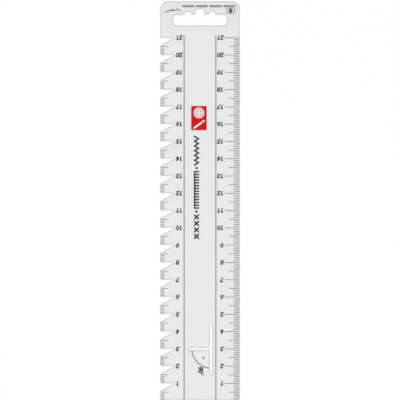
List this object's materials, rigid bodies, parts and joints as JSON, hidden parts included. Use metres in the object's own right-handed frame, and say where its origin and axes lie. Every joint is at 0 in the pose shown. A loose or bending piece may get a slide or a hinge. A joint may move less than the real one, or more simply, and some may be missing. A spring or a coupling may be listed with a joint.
{
  "type": "sewing gauge",
  "caption": "Flat clear plastic hand gauge for sewing, with a toothed centimetre edge, a straight ruled edge, a T-shaped marking slot and a hanging hole.",
  "frame": {"origin": "middle of the blade's length and width, on its back face, which it rests on", "axes": "+Y along the blade towards the hanging hole, +X towards the straight ruled edge, +Z out of the printed face"},
  "size_m": [0.046, 0.2312, 0.0012],
  "materials": {
    "clear_plastic": "clear, smooth, faintly grey, with polished faces and softly broken rims",
    "black_ink": "thin screen-printed black ink, satin",
    "red_ink": "thin screen-printed red ink, satin",
    "white_ink": "thin screen-printed white ink, satin"
  },
  "bodies": {
    "root": {"blade": "clear_plastic", "straight_edge_scale": "black_ink", "toothed_edge_scale": "black_ink", "border_lines": "black_ink", "right_angle_mark": "black_ink"}
  },
  "joints": []
}
